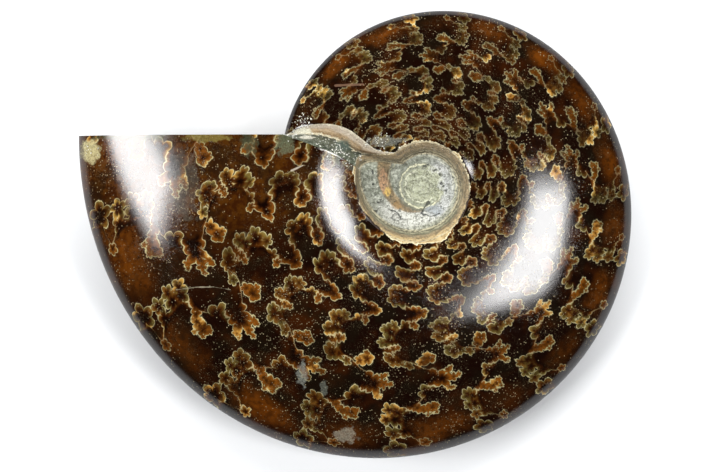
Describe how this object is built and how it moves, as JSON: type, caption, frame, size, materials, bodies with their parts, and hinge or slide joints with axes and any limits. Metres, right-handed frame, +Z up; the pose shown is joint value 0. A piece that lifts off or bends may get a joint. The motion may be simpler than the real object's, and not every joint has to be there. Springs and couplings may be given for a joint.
{
  "type": "polished ammonite fossil",
  "caption": "Coiled ammonite fossil, a closed spiral stone with a sawn mouth and an open umbilicus on each side, lying on its flank.",
  "frame": {"origin": "bottom centre of the fossil's bounding box, on the surface it lies on", "axes": "+X toward the far side of the coil from the mouth's outer corner, along the longest extent; +Y toward the side that the sawn mouth faces; +Z up through the flank"},
  "size_m": [0.1, 0.081, 0.0264],
  "materials": {
    "fossil_stone": "mirror-polished dark red-brown calcite with amber suture lines, cream and tan bare shell in the umbilicus"
  },
  "bodies": {
    "root": {"ammonite": "fossil_stone"}
  },
  "joints": []
}
